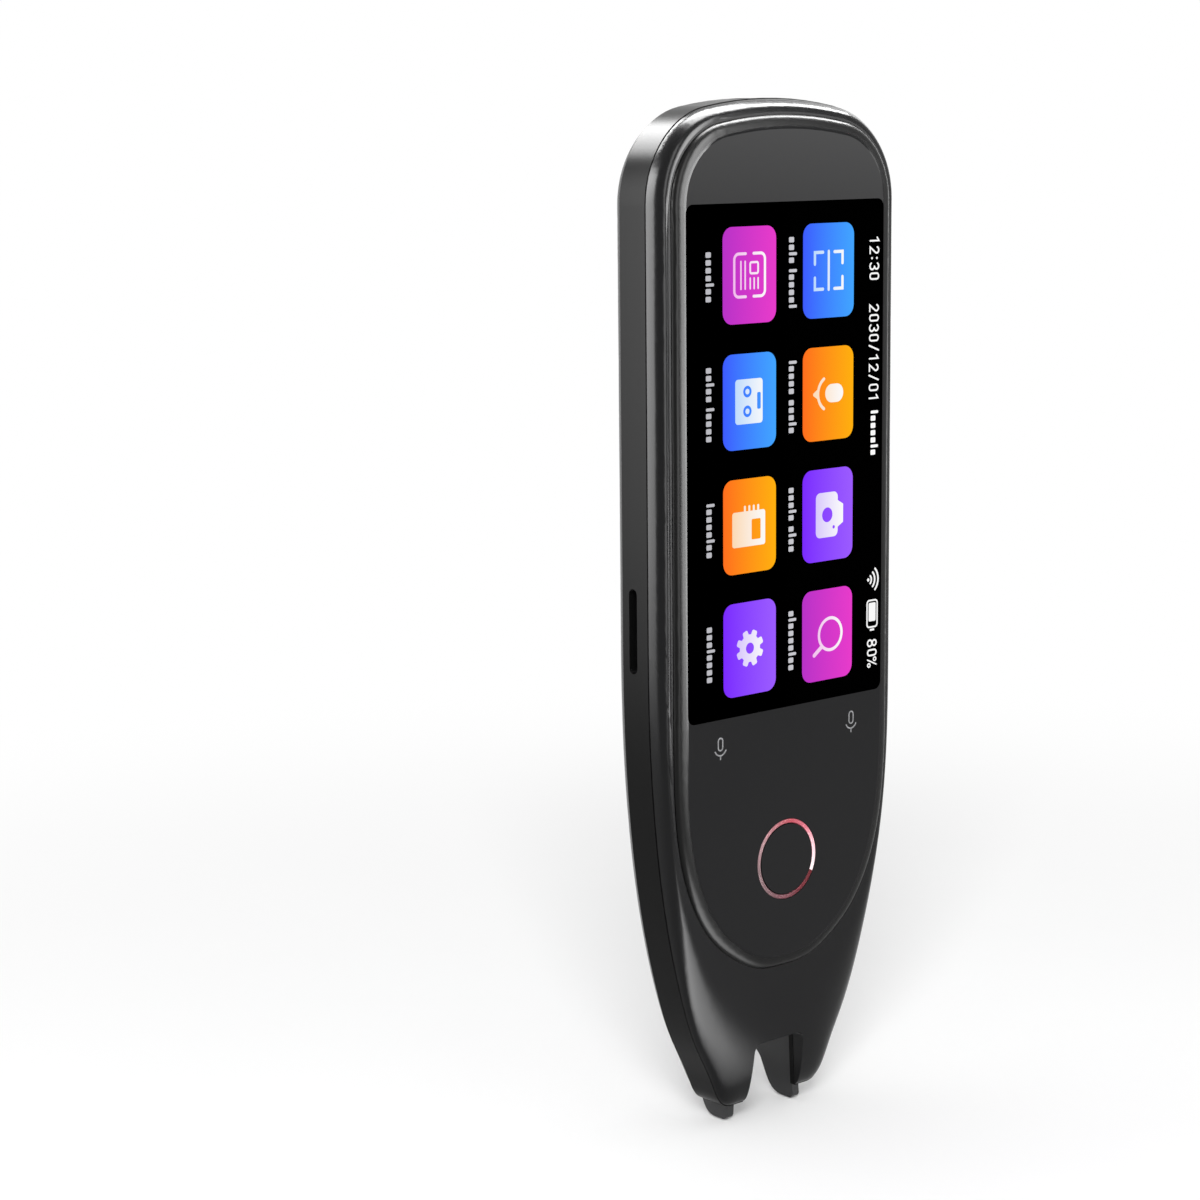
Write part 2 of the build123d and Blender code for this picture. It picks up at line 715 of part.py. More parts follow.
with BuildPart() as camera_window:
    with BuildSketch(Plane.XZ.offset(-window_back - camera_window_thickness)):
        with Locations((0, camera_height)):
            Circle(window_radius - fit_gap / 2)
    extrude(amount=camera_window_thickness)

barrel_face = window_back - lens_window_gap
with BuildPart() as camera_module:
    with BuildSketch(Plane.XZ.offset(board_back)):
        with Locations((0, camera_height)):
            RectangleRounded(camera_module_size, camera_module_size, small_corner)
    extrude(amount=-(board_back - cover_inside) + cover_wall)
    with BuildSketch(Plane.XZ.offset(-barrel_face)):
        with Locations((0, camera_height)):
            Circle(lens_barrel_radius)
            Circle(lens_radius, mode=Mode.SUBTRACT)
    extrude(amount=barrel_face + cover_inside + cover_wall)

with BuildPart() as camera_lens:
    with BuildSketch(Plane.XZ.offset(-barrel_face)):
        with Locations((0, camera_height)):
            Circle(lens_radius)
    extrude(amount=barrel_face + cover_inside + cover_wall)
    fillet(camera_lens.edges().group_by(Axis.Y)[-1], lens_edge)

# ---- sockets and microphones ----
socket_low = slot_height - slot_length / 2 - socket_margin
socket_mouth = 2 * fit_gap - taper_half(FRAME_INSIDE, socket_low)
with BuildPart() as card_socket:
    with BuildSketch(Plane.XZ.offset(board_back)):
        with Locations((socket_mouth + socket_depth / 2, slot_height)):
            Rectangle(socket_depth, slot_length + 2 * socket_margin)
    extrude(amount=-socket_thickness)
    with BuildSketch(Plane.YZ.offset(socket_mouth)):
        with Locations((slot_offset, slot_height)):
            Rectangle(card_thickness, slot_length)
    extrude(amount=socket_depth - socket_margin, mode=Mode.SUBTRACT)

usb_mouth = crown_height(BODY, usb_width / 2) - usb_recess
with BuildPart() as usb_port:
    with BuildSketch(Plane.XY.offset(board_top)):
        with Locations((0, -band_middle)):
            SlotOverall(usb_width, usb_thickness)
    extrude(amount=usb_mouth - board_top)
    with BuildSketch(Plane.XY.offset(board_top + 3 * usb_wall)):
        with Locations((0, -band_middle)):
            SlotOverall(usb_width - 2 * usb_wall, usb_thickness - 2 * usb_wall)
            Rectangle(usb_width - usb_thickness, usb_tongue, mode=Mode.SUBTRACT)
    extrude(amount=pen_length - board_top, mode=Mode.SUBTRACT)

with BuildPart() as microphones:
    with BuildSketch(Plane.XZ.offset(band_front)):
        with Locations((-mic_offset + mic_size / 2, mic_height), (mic_offset - mic_size / 2, mic_height)):
            Rectangle(mic_size, mic_size)
    extrude(amount=mic_thickness)

# ---- main board and what stands on it ----
with BuildPart() as main_board:
    with BuildSketch(Plane.XZ.offset(board_back)) as board_outline:
        with Locations((0, (board_foot + board_top) / 2)):
            Rectangle(board_width, board_top - board_foot)
        fillet(board_outline.vertices().group_by(Axis.Y)[-1], board_corner)
    extrude(amount=board_thickness)

shield_left = socket_mouth + socket_depth + shield_socket_gap
shield_width = board_width / 2 - shield_side_gap - shield_left
shield_across = shield_left + shield_width / 2
shield_middle = battery_top - shield_length / 2 - shield_drop
with BuildPart() as shield_can:
    with BuildSketch(Plane.XZ.offset(board_back)):
        with Locations((shield_across, shield_middle)):
            RectangleRounded(shield_width, shield_length, shield_corner)
    extrude(amount=-shield_height)
    with BuildSketch(Plane.XZ.offset(board_back)):
        with Locations((shield_across, shield_middle)):
            shield_room = (shield_width - 2 * shield_wall, shield_length - 2 * shield_wall)
            RectangleRounded(*shield_room, shield_corner - shield_wall)
    extrude(amount=-shield_height + shield_wall, mode=Mode.SUBTRACT)

connector_places = [(offset, battery_top + connector_rise) for offset in connector_offsets]
with BuildPart() as board_connectors:
    with BuildSketch(Plane.XZ.offset(board_back)):
        with Locations(*connector_places):
            Rectangle(connector_width, connector_length)
    extrude(amount=-connector_height)

battery_face = board_back - shield_height - battery_gap
with BuildPart() as battery:
    with BuildSketch(Plane.XZ.offset(battery_face - battery_thickness)):
        with Locations((0, (battery_foot + battery_top) / 2)):
            RectangleRounded(battery_width, battery_length, inner_corner)
    extrude(amount=battery_thickness)
    fillet(battery.edges().filter_by(Axis.Z), battery_thickness / 4)

with BuildPart() as speaker:
    with BuildSketch(Plane.XZ.offset(cover_inside + mesh_thickness + fit_gap)):
        with Locations((0, speaker_middle + speaker_rise)):
            RectangleRounded(speaker_width, speaker_length, inner_corner)
    extrude(amount=speaker_thickness)

with BuildPart() as speaker_mesh:
    with BuildSketch(Plane.XZ.offset(cover_inside)):
        with Locations((0, speaker_middle)):
            RectangleRounded(mesh_width, mesh_length, inner_corner)
    extrude(amount=mesh_thickness)

with BuildPart() as case_screws:
    with BuildSketch(Plane.XZ.offset(plate_back - screw_head_thickness)):
        with Locations(screw_places):
            Circle(screw_head_radius)
    extrude(amount=screw_head_thickness)
    with BuildSketch(Plane.XZ.offset(plate_back)):
        with Locations(screw_places):
            Circle(screw_radius)
    extrude(amount=screw_thread_end - plate_back - fit_gap)

# ---- one file for each piece ----
PIECES = {
    "side_frame": side_frame,
    "front_housing": front_housing,
    "rear_cover": rear_cover,
    "front_glass": front_glass,
    "display_adhesive": display_adhesive,
    "display_panel": display_panel,
    "home_ring": home_ring,
    "home_key": home_key,
    "home_switch": home_switch,
    "volume_key": volume_key,
    "volume_key_skirt": volume_key_skirt,
    "power_key": power_key,
    "power_key_skirt": power_key_skirt,
    "volume_switches": volume_switches,
    "power_switch": power_switch,
    "key_board": key_board,
    "scan_nib": scan_nib,
    "nib_springs": nib_springs,
    "scan_bracket": scan_bracket,
    "scan_camera": scan_camera,
    "scan_lens": scan_lens,
    "scan_lights": scan_lights,
    "nib_switch": nib_switch,
    "camera_ring": camera_ring,
    "camera_window": camera_window,
    "camera_module": camera_module,
    "camera_lens": camera_lens,
    "card_socket": card_socket,
    "usb_port": usb_port,
    "microphones": microphones,
    "main_board": main_board,
    "shield_can": shield_can,
    "board_connectors": board_connectors,
    "battery": battery,
    "speaker": speaker,
    "speaker_mesh": speaker_mesh,
    "case_screws": case_screws,
}
os.makedirs("parts", exist_ok=True)
for name, piece in PIECES.items():
    piece.part.label = name
    export_step(piece.part, f"parts/{name}.step")
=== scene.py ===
"""Looks of the handheld translator, a flat scanning pen with a touch screen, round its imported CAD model."""

import json
import math

import bmesh
import bpy
from mathutils import Matrix, Vector


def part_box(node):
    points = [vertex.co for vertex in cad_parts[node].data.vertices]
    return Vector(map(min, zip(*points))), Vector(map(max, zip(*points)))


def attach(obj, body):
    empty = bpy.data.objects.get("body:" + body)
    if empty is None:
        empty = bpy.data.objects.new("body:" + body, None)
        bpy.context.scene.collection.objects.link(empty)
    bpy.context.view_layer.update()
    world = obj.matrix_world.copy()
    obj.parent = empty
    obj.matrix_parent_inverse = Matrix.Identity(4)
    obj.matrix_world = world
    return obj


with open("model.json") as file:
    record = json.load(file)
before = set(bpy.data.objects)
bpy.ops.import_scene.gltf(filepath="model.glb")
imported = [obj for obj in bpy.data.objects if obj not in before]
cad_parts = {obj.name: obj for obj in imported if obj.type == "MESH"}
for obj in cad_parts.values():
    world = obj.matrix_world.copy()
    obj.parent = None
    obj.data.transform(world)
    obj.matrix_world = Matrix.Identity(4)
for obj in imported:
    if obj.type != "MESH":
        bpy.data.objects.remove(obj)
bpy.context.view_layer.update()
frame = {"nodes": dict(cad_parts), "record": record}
MM = 0.001

# ---- the photograph's camera, in degrees, millimetres and pixels of its 1200 x 1200 frame ----
CAMERA_AZIMUTH = 44.44
CAMERA_PITCH = 10.0
CAMERA_DISTANCE = 395.5
CAMERA_TARGET = Vector((0, 0, 72.5))
FOCAL_PIXELS = 2784.0
TARGET_PIXEL = (756.3, 617.3)
FRAME_PIXELS = 1200
SENSOR = 36.0

# ---- what the screen shows, in millimetres ----
# the picture lies on its side: its right is -Z and its top is +X
PRINT_THICKNESS = 0.02
SCREEN_BORDER = 0.5
SCREEN_CORNER = 1.2
ICON_ROWS = 4
ICON_TOP_ROW = 121.3
ICON_PITCH = 17.15
ICON_COLUMNS = (8.0, -7.35)
ICON_LENGTH = 13.1
ICON_WIDTH = 10.1
ICON_CORNER = 1.7
SIGN_REACH = 3.2
SIGN_LINE = 0.45
CAPTION_COLUMNS = (0.75, -15.0)

# word-like marks: a block is short or tall, each with its width and its top, over a common foot
SHORT_MARK = (0.74, 0.42)
TALL_MARK = (0.42, 0.98)
MARK_FOOT = -0.55
MARK_CORNER = 0.17
MARK_GAP = 0.3
MARK_SPACE = 0.55

# the status row, with places along the picture, which is along -Z
STATUS_ACROSS = 17.25
STATUS_LINE = 0.25
DIGIT_PITCH = 1.41
COLON_SHARE = 0.6
CLOCK_START = -125.9
DATE_START = -116.35
WORD_MIDDLE = -97.9
SIGNAL_MIDDLE = -76.7
SIGNAL_RADII = (0.75, 1.45, 2.15)
BATTERY_MIDDLE = -71.7
CHARGE_START = -68.1

# ---- the glass and what is marked off the screen, in millimetres ----
GLASS_EDGE = (0.01, 0.05)  # depths behind the face between which the flat glass turns into its edge
GLASS_EDGE_ROUGHER = 0.24
MIC_ACROSS = 13.0
MIC_HEIGHT = 56.6
KEY_DOT_REACH = 8.0
KEY_DOT_RADIUS = 0.38
KEY_LINE_HALF = (0.2, 2.25)

# tones round the home ring, clockwise from a turn in degrees past its top: a painted reflection over the
# ring's rose colour, with deep red painted shade at its lower right and a pale pink and white painted
# highlight at its right
RING_PAINTED_REFLECTION_START = 117
RING_PAINTED_REFLECTION_TONES = (
    "541018", "5C1C25", "70444C", "74585C", "7A6265", "A07E82", "A46A70", "A8424E", "D07080", "FFC8D0",
    "FFE9EC",
)

# ---- the rear camera's barrel and lens: radius and height over the window's face, in millimetres ----
EYE_RADIUS = 1.95
EYE_FOOT = 0.02
EYE_RISE = 0.16
EYE_LIFT = 0.005
BARREL_PROFILE = (
    (3.3, 0.01), (3.2, 0.05), (2.75, 0.05), (2.7, 0.1), (2.35, 0.12), (EYE_RADIUS + 0.12, 0.07),
)

# ---- light and surroundings ----
WORLD_LIGHT = 0.75
FLOOR_HALF = 6000
FLOOR_DROP = 0.2  # under the feet, so that no two faces meet
FLOOR_WHITE = (60, 330)  # how far out the floor starts to turn white, and where it is white
KEY_LIGHT = {"place": (-500, -500, 500), "target": (0, 0, 70), "size": 300, "power": 5}

# Lit cards that only gloss shows. Strengths run from a card's lower to its upper edge, and the last number is
# the share of its half size over which it fades at its rim.
# An upright card has a turn in degrees from the screen's side to -X, a distance, a width and its heights.
UPRIGHT_CARDS = (
    ("card_left", 112, 230, 220, (0, 300), (7, 40), 0.35),
    ("card_right_behind", -110, 230, 90, (0, 420), (3, 3), 0.35),
    ("card_front_left", 22, 230, 90, (0, 420), (10, 10), 0.2),
    ("card_front_middle", -22, 230, 98, (0, 300), (34, 34), 0.15),
    ("card_front_right", -44, 300, 170, (95, 165), (1, 6.8), 0.01),
)
# A level card has a centre, a size and a turn about Z. The turned one's upper edge points to -X.
LEVEL_CARDS = (
    ("card_above", (380, 60, 600), (800, 400), 0, (44, 44), 0.15),
    ("card_above_behind", (-80, 520, 600), (520, 400), 0, (50, 50), 0.3),
    ("card_foot", (-14, -44, 1), (70, 54), 90, (6, 26), 0.4),
)

# ---- how fine a curve is drawn ----
CIRCLE_STEPS = 40
CORNER_STEPS = 8
CAP_STEPS = 6
TURNED_STEPS = 64
MITRE_LIMIT = 0.5

# the middle part of a noise's range, where nearly all of its values lie
CLOUD_RANGE = (0.35, 0.65)
GRAIN_RANGE = (0.3, 0.7)


def node_box(name):
    """Lowest and highest corners of a CAD node, in millimetres."""
    low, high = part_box(name)
    return Vector(low) / MM, Vector(high) / MM


panel_low, panel_high = node_box("display_panel")
ring_low, ring_high = node_box("home_ring")
GLASS_FACE = node_box("front_glass")[0].y
SCREEN_LOW, SCREEN_HIGH = panel_low.z + SCREEN_BORDER, panel_high.z - SCREEN_BORDER
SCREEN_HALF = panel_high.x - SCREEN_BORDER


# ---------------------------------------------------------------- node trees


def linear(code):
    """Linear colour of an sRGB hex code."""
    parts = [int(code[i:i + 2], 16) / 255 for i in (0, 2, 4)]
    return tuple(c / 12.92 if c <= 0.04045 else ((c + 0.055) / 1.055) ** 2.4 for c in parts)


class Surface:
    """A node material under construction, with short calls for the nodes that most surfaces use."""

    def __init__(self, name):
        self.material = bpy.data.materials.new(name)
        self.material.use_nodes = True
        self.nodes = self.material.node_tree.nodes
        self.links = self.material.node_tree.links
        self.shader = self.nodes["Principled BSDF"]

    def position(self, scale=(1, 1, 1)):
        """Object coordinates in millimetres, times a scale for each axis."""
        source = self.nodes.new("ShaderNodeTexCoord")
        mapping = self.nodes.new("ShaderNodeMapping")
        mapping.inputs["Scale"].default_value = [s / MM for s in scale]
        self.links.new(source.outputs["Object"], mapping.inputs["Vector"])
        return mapping.outputs["Vector"]

    def axis(self, vector, which):
        """One coordinate of a vector."""
        split = self.nodes.new("ShaderNodeSeparateXYZ")
        self.links.new(vector, split.inputs["Vector"])
        return split.outputs[which]

    def offset(self, vector, which, centre):
        """One coordinate of a vector, counted from a centre."""
        return self.math("SUBTRACT", self.axis(vector, which), centre)

    def math(self, operation, first, second=0.0):
        """The named operation on two values, or on a value and a number."""
        made = self.nodes.new("ShaderNodeMath")
        made.operation = operation
        for socket, value in zip(made.inputs, (first, second)):
            if isinstance(value, (int, float)):
                socket.default_value = value
            else:
                self.links.new(value, socket)
        return made.outputs["Value"]

    def length(self, first, second):
        """The length of a vector with two coordinates."""
        squares = [self.math("MULTIPLY", value, value) for value in (first, second)]
        return self.math("SQRT", self.math("ADD", *squares))

    def spread(self, value, from_low, from_high, to_low, to_high, kind="LINEAR"):
        """A value mapped from one range to another, held at its ends."""
        made = self.nodes.new("ShaderNodeMapRange")
        made.interpolation_type = kind
        made.inputs["From Min"].default_value = from_low
        made.inputs["From Max"].default_value = from_high
        made.inputs["To Min"].default_value = to_low
        made.inputs["To Max"].default_value = to_high
        self.links.new(value, made.inputs["Value"])
        return made.outputs["Result"]

    def near(self, offset, reach, soft):
        """One where an offset is within a reach of zero, falling to zero over a soft edge."""
        return self.spread(self.math("ABSOLUTE", offset), reach, reach + soft, 1, 0)

    def noise(self, vector, scale, detail=3.0):
        """A noise texture's value."""
        made = self.nodes.new("ShaderNodeTexNoise")
        made.inputs["Scale"].default_value = scale
        made.inputs["Detail"].default_value = detail
        self.links.new(vector, made.inputs["Vector"])
        return made.outputs["Fac"]

    def clouds(self, vector, scale, low, high, detail=3.0):
        """A value that drifts between two levels."""
        return self.spread(self.noise(vector, scale, detail), *CLOUD_RANGE, low, high)

    def colours(self, value, *tones):
        """A colour led by a value through evenly spaced tones."""
        made = self.nodes.new("ShaderNodeValToRGB")
        stops = made.color_ramp.elements
        while len(stops) < len(tones):
            stops.new(1.0)
        for index, tone in enumerate(tones):
            stops[index].position = index / (len(tones) - 1)
            stops[index].color = (*linear(tone), 1)
        self.links.new(value, made.inputs["Fac"])
        return made.outputs["Color"]

    def bump(self, height, distance):
        """Bump from a height value, with its distance in millimetres."""
        made = self.nodes.new("ShaderNodeBump")
        made.inputs["Strength"].default_value = 1.0
        made.inputs["Distance"].default_value = distance * MM
        self.links.new(height, made.inputs["Height"])
        self.links.new(made.outputs["Normal"], self.shader.inputs["Normal"])

    def feed(self, output, name):
        """Links an output to one of the shader's inputs."""
        self.links.new(output, self.shader.inputs[name])

    def set(self, **values):
        """Sets plain values on the shader, with underscores for the spaces in their names."""
        for name, value in values.items():
            self.shader.inputs[name.replace("_", " ")].default_value = value


def finish_material(
    name, tones, roughness, metallic=0.0, coat=0.0, specular=0.5,
    grain=1.0, stretch=(1, 1, 1), spread=0.04, bump=0.0,
):
    """A surface with a fine grain of tones, broad changes of roughness and an optional bump and coat."""
    made = Surface(name)
    fine = made.noise(made.position(stretch), grain)
    low, high = max(roughness - spread, 0.02), roughness + spread
    made.feed(made.colours(made.spread(fine, *GRAIN_RANGE, 0, 1), *tones), "Base Color")
    made.feed(made.clouds(made.position(), 0.09, low, high, 2.0), "Roughness")
    made.set(Metallic=metallic, Specular_IOR_Level=specular, Coat_Weight=coat, Coat_Roughness=0.05)
    if bump:
        made.bump(fine, bump)
    return made.material


def shining_material(name, tones, strength, limits=(-1, 1)):
    """Something lit on the screen: its own colour, graded across the pen between two limits."""
    made = Surface(name)
    value = made.spread(made.axis(made.position(), "X"), *limits, 0, 1)
    made.feed(made.colours(value, *tones), "Emission Color")
    made.set(Base_Color=(0, 0, 0, 1), Emission_Strength=strength, Roughness=0.2, Specular_IOR_Level=0.0)
    return made.material


def glass_material():
    """Black-backed cover glass: dark grey where it is flat, and rougher round its curved edge, which is
    painted near black as shade.
    """
    made = Surface("front_glass")
    vector = made.position()
    edge = made.spread(made.offset(vector, "Y", GLASS_FACE), *GLASS_EDGE, 0, 1)
    # the near-black colour at the curved edge is painted shade, standing for the dark reflection there
    made.feed(made.colours(edge, "161617", "040404"), "Base Color")
    polish = made.clouds(vector, 0.05, 0.05, 0.08, 2.0)
    made.feed(made.math("ADD", polish, made.math("MULTIPLY", edge, GLASS_EDGE_ROUGHER)), "Roughness")
    made.set(Specular_IOR_Level=0.12)
    return made.material


def ring_material():
    """Rose metal with a painted reflection as tones round the ring: deep red painted shade, and a pale pink
    and white painted highlight at its right.
    """
    made = Surface("ring_rose_painted_reflection")
    vector = made.position()
    middle = (ring_low + ring_high) / 2
    turned = made.math("ARCTAN2", made.offset(vector, "X", middle.x), made.offset(vector, "Z", middle.z))
    past_start = made.math("SUBTRACT", turned, math.radians(RING_PAINTED_REFLECTION_START))
    share = made.math("FRACT", made.math("DIVIDE", past_start, 2 * math.pi))
    # the tones round the ring are painted reflection over its rose colour: shade in deep red, highlight in
    # pale pink and white
    made.feed(made.colours(share, *RING_PAINTED_REFLECTION_TONES), "Base Color")
    made.feed(made.clouds(vector, 3.0, 0.3, 0.38), "Roughness")
    made.set(Metallic=0.0, Specular_IOR_Level=0.12)
    return made.material


def key_material(name, node, dots):
    """Satin key cap with white marks on its outer face: two dots, or one line."""
    made = Surface(name)
    vector = made.position()
    low, high = node_box(node)
    middle = (low + high) / 2
    across, along = made.offset(vector, "Y", middle.y), made.offset(vector, "Z", middle.z)
    if dots:
        from_dot = made.math("SUBTRACT", made.math("ABSOLUTE", along), KEY_DOT_REACH)
        mark = made.near(made.length(across, from_dot), KEY_DOT_RADIUS, 0.05)
    else:
        sides = [made.near(offset, half, 0.04) for offset, half in zip((across, along), KEY_LINE_HALF)]
        mark = made.math("MULTIPLY", *sides)
    made.feed(made.colours(mark, "121214", "F2F2F4"), "Base Color")
    made.feed(made.clouds(vector, 0.4, 0.3, 0.34), "Roughness")
    made.set(Specular_IOR_Level=0.12)
    return made.material


def lens_material(middle):
    """Coated lens with its coating's reflection painted as rings: nearly black at its middle, then blue, then
    violet towards its rim.
    """
    made = Surface("camera_eye_painted_reflection")
    vector = made.position()
    reach = made.length(made.offset(vector, "X", middle.x), made.offset(vector, "Z", middle.z))
    share = made.spread(reach, 0, EYE_RADIUS, 0, 1)
    # the blue and violet rings are a painted reflection of the lens coating
    made.feed(made.colours(share, "0A1030", "2A4FA8", "4E63C8", "3A2F86", "120C2A"), "Base Color")
    made.feed(made.clouds(vector, 1.0, 0.05, 0.09), "Roughness")
    made.set(Metallic=0.3, Coat_Weight=1.0, Coat_Roughness=0.03, Specular_IOR_Level=0.4)
    return made.material


# the material of each slot in the record
MATERIALS = {
    "frame_metal": finish_material(
        "band_anodised", ("090909", "0D0D0D"), 0.28, specular=0.05, grain=9, spread=0.003),
    "housing_plastic": finish_material(
        "housing_gloss", ("080809", "0B0B0C"), 0.22, specular=0.14, grain=2, spread=0.004),
    "cover_paint": finish_material(
        "cover_satin_paint", ("252526", "28282A"), 0.27, metallic=0.5, specular=0.2, grain=14,
        spread=0.004),
    "cover_glass": glass_material(),
    "tape": finish_material("adhesive_tape", ("101010", "161616"), 0.6, grain=3),
    "panel": finish_material("display_panel_black", ("050506", "08080A"), 0.2, grain=2),
    "rose_metal": ring_material(),
    "key_cap": finish_material(
        "home_key_black", ("171718", "1B1B1C"), 0.12, specular=0.12, grain=4, spread=0.02),
    "key_skirt": finish_material("key_skirt_crimson", ("E01055", "F5185E"), 0.3, coat=0.3, grain=6),
    "switch_plastic": finish_material("switch_plastic_black", ("1A1A1A", "222222"), 0.5, grain=5),
    "switch_metal": finish_material("switch_dome_metal", ("9A9A9E", "B4B4B8"), 0.3, metallic=1, grain=20),
    "board_resin": finish_material(
        "board_green_resin", ("0D3B22", "124A2B"), 0.4, coat=0.3, grain=2, bump=0.01),
    "shield_steel": finish_material(
        "shield_steel", ("A8A9AC", "BDBEC1"), 0.35, metallic=1, grain=3, stretch=(1, 1, 0.1)),
    "nib_plastic": finish_material(
        "nib_satin_plastic", ("1C1C1D", "212122"), 0.34, specular=0.3, grain=8, bump=0.003),
    "spring_steel": finish_material("spring_steel", ("8C8C90", "A5A5A9"), 0.25, metallic=1, grain=20),
    "inner_plastic": finish_material("inner_plastic", ("121213", "171718"), 0.5, specular=0.2, grain=6),
    "lens_glass": finish_material(
        "lens_coated_glass", ("1A2350", "2F3E9C", "4A2A98"), 0.05, metallic=0.6, coat=1, grain=0.4),
    "lamp": finish_material("lamp_diffuser", ("F2EFE6", "FFFDF5"), 0.4, grain=4),
    "red_metal": finish_material("camera_ring_red_metal", ("5E0C15", "8A1420"), 0.25, metallic=1, grain=2),
    "window_glass": finish_material(
        "camera_window_black", ("060607", "09090A"), 0.04, specular=0.3, grain=2),
    "battery_wrap": finish_material("battery_wrap", ("B9BCC2", "C9CCD1"), 0.35, metallic=0.6, grain=2),
    "speaker_box": finish_material("speaker_box", ("17171A", "1F1F22"), 0.5, grain=6),
    "mesh": finish_material("speaker_mesh_steel", ("0A0A0B", "141415"), 0.6, metallic=0.5, grain=60),
    "port_steel": finish_material("port_steel", ("B4B5B8", "C8C9CC"), 0.28, metallic=1, grain=10),
    "screw_steel": finish_material("screw_black_steel", ("3A3A3C", "4A4A4D"), 0.35, metallic=1, grain=12),
}
MARKED_KEYS = {
    "volume_key": key_material("volume_key_dots", "volume_key", True),
    "power_key": key_material("power_key_line", "power_key", False),
}


def dress_nodes():
    """Gives every CAD node the material of its slot in the record, and the side keys their marks."""
    for part in frame["record"]["subparts"]:
        name = part["node"]
        for place in frame["nodes"][name].material_slots:
            place.material = MARKED_KEYS.get(name, MATERIALS[part["material_slot"]])


# ---------------------------------------------------------------- objects and meshes


def placed_object(name, data):
    """A new object in the scene."""
    made = bpy.data.objects.new(name, data)
    bpy.context.collection.objects.link(made)
    return made


def finished_mesh(work, name, material=None):
    """A mesh from a bmesh, which is freed, with a material if one is given."""
    mesh = bpy.data.meshes.new(name)
    work.to_mesh(mesh)
    work.free()
    if material:
        mesh.materials.append(material)
    return mesh


def grid_mesh(name, width, depth, segments, material):
    """A level grid about the origin, in millimetres."""
    work = bmesh.new()
    bmesh.ops.create_grid(work, x_segments=segments, y_segments=segments, size=0.5)
    bmesh.ops.scale(work, vec=(width * MM, depth * MM, 1), verts=work.verts)
    return finished_mesh(work, name, material)


# ---------------------------------------------------------------- flat shapes


def rounded_box(width, height, corner, centre=(0, 0), steps=CORNER_STEPS):
    """Corner points of a rectangle with round corners."""
    points = []
    for quarter in range(4):
        turn = math.radians(90 * quarter)
        corner_x = (width / 2 - corner) * (1 if quarter in (0, 3) else -1)
        corner_y = (height / 2 - corner) * (1 if quarter in (0, 1) else -1)
        for step in range(steps + 1):
            angle = turn + math.radians(90 * step / steps)
            points.append((centre[0] + corner_x + corner * math.cos(angle),
                           centre[1] + corner_y + corner * math.sin(angle)))
    return points


def at_angles(radius, angles, centre):
    """Points at a radius from a centre."""
    return [(centre[0] + radius * math.cos(a), centre[1] + radius * math.sin(a)) for a in angles]


def full_turn(steps):
    """Evenly spaced angles round a circle."""
    return [2 * math.pi * step / steps for step in range(steps)]


def circle(radius, centre=(0, 0)):
    """Points of a circle."""
    return at_angles(radius, full_turn(CIRCLE_STEPS), centre)


def arc_points(radius, start, end, centre, steps):
    """Points along an arc between two angles in degrees."""
    angles = [math.radians(start + (end - start) * step / steps) for step in range(steps + 1)]
    return at_angles(radius, angles, centre)


def stroke(points, width):
    """One shape for a line of even width, mitred at its corners and round at its ends."""
    half = width / 2
    ways = [math.atan2(y1 - y0, x1 - x0) for (x0, y0), (x1, y1) in zip(points, points[1:])]
    left, right = [], []
    for index, (x, y) in enumerate(points):
        before, after = ways[max(index - 1, 0)], ways[min(index, len(ways) - 1)]
        bend = (after - before + math.pi) % (2 * math.pi) - math.pi
        across = before + bend / 2 + math.pi / 2
        reach = half / max(math.cos(bend / 2), MITRE_LIMIT)
        left.append((x + reach * math.cos(across), y + reach * math.sin(across)))
        right.append((x - reach * math.cos(across), y - reach * math.sin(across)))
    ends = []
    for point, way, start in ((points[-1], ways[-1], 90), (points[0], ways[0], -90)):
        angles = [way + math.radians(start - 180 * step / CAP_STEPS) for step in range(1, CAP_STEPS)]
        ends.append(at_angles(half, angles, point))
    return [left + ends[0] + right[::-1] + ends[1]]


def round_line(radius, width, centre=(0, 0)):
    """One shape for a round line."""
    return [circle(radius + width / 2, centre), circle(radius - width / 2, centre)]


def box_line(width, height, corner, line, centre=(0, 0)):
    """One shape for a line round a box with round corners."""
    return [rounded_box(width + line, height + line, corner + line / 2, centre),
            rounded_box(width - line, height - line, max(corner - line / 2, 0.02), centre)]


def moved(shapes, x, y=0):
    """The same shapes at another place."""
    return [[[(px + x, py + y) for px, py in loop] for loop in loops] for loops in shapes]


def flat_mesh(shapes, thickness):
    """A mesh of thin plates in the XY plane. A shape is a list of loops, and its inner loops are holes."""
    work = bmesh.new()
    for loops in shapes:
        curve = bpy.data.curves.new("outline", "CURVE")
        curve.dimensions = "2D"
        curve.fill_mode = "BOTH"
        curve.extrude = thickness / 2 * MM
        for points in loops:
            spline = curve.splines.new("POLY")
            spline.points.add(len(points) - 1)
            for point, (x, y) in zip(spline.points, points):
                point.co = (x * MM, y * MM, 0, 1)
            spline.use_cyclic_u = True
        holder = bpy.data.objects.new("outline", curve)
        mesh = bpy.data.meshes.new_from_object(holder)
        work.from_mesh(mesh)
        bpy.data.objects.remove(holder)
        bpy.data.meshes.remove(mesh)
        bpy.data.curves.remove(curve)
    bmesh.ops.remove_doubles(work, verts=work.verts, dist=1e-7)
    bmesh.ops.recalc_face_normals(work, faces=work.faces)
    return finished_mesh(work, "flat")


# where a flat shape's x, y and z point: to -Z, +X and out of the glass for the picture, and otherwise to +X,
# +Z and out
PICTURE_TURN = Matrix(((0, 1, 0), (0, 0, -1), (-1, 0, 0)))
UPRIGHT_TURN = Matrix(((1, 0, 0), (0, 0, -1), (0, 1, 0)))


